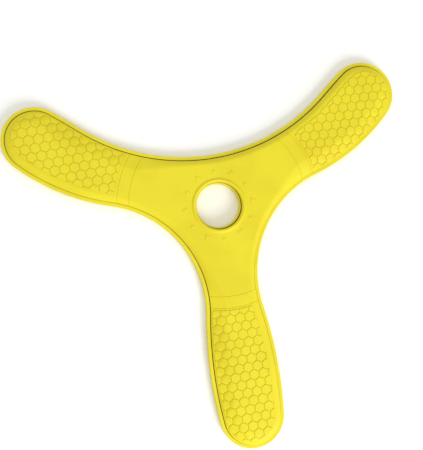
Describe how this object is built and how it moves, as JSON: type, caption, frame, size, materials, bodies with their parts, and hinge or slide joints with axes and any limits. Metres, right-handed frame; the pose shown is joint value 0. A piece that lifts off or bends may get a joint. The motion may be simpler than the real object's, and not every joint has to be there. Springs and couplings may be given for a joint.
{
  "type": "boomerang",
  "caption": "Soft foam boomerang with two bowed wing blades and a longer tail blade, a finger hole at the hub, and an upper half bonded inside the rim of a flat lower half.",
  "frame": {"origin": "centre of mass, to within a tenth of a millimetre, on the plane where the lower and upper halves meet; the hub centre is at x = -7.6 mm", "axes": "+X along the tail blade, +Z out of the wing-shaped upper face, +Y towards one wing blade's tip completes a right-handed frame"},
  "size_m": [0.2228, 0.2424, 0.0093],
  "materials": {
    "upper_foam": "yellow closed-cell foam with a smooth moulded skin, satin",
    "lower_foam": "yellow closed-cell foam with a smooth moulded skin, satin",
    "adhesive_film": "dark dried contact adhesive, dull"
  },
  "bodies": {
    "root": {"lower_half": "lower_foam", "bond_film": "adhesive_film", "upper_half": "upper_foam"}
  },
  "joints": []
}
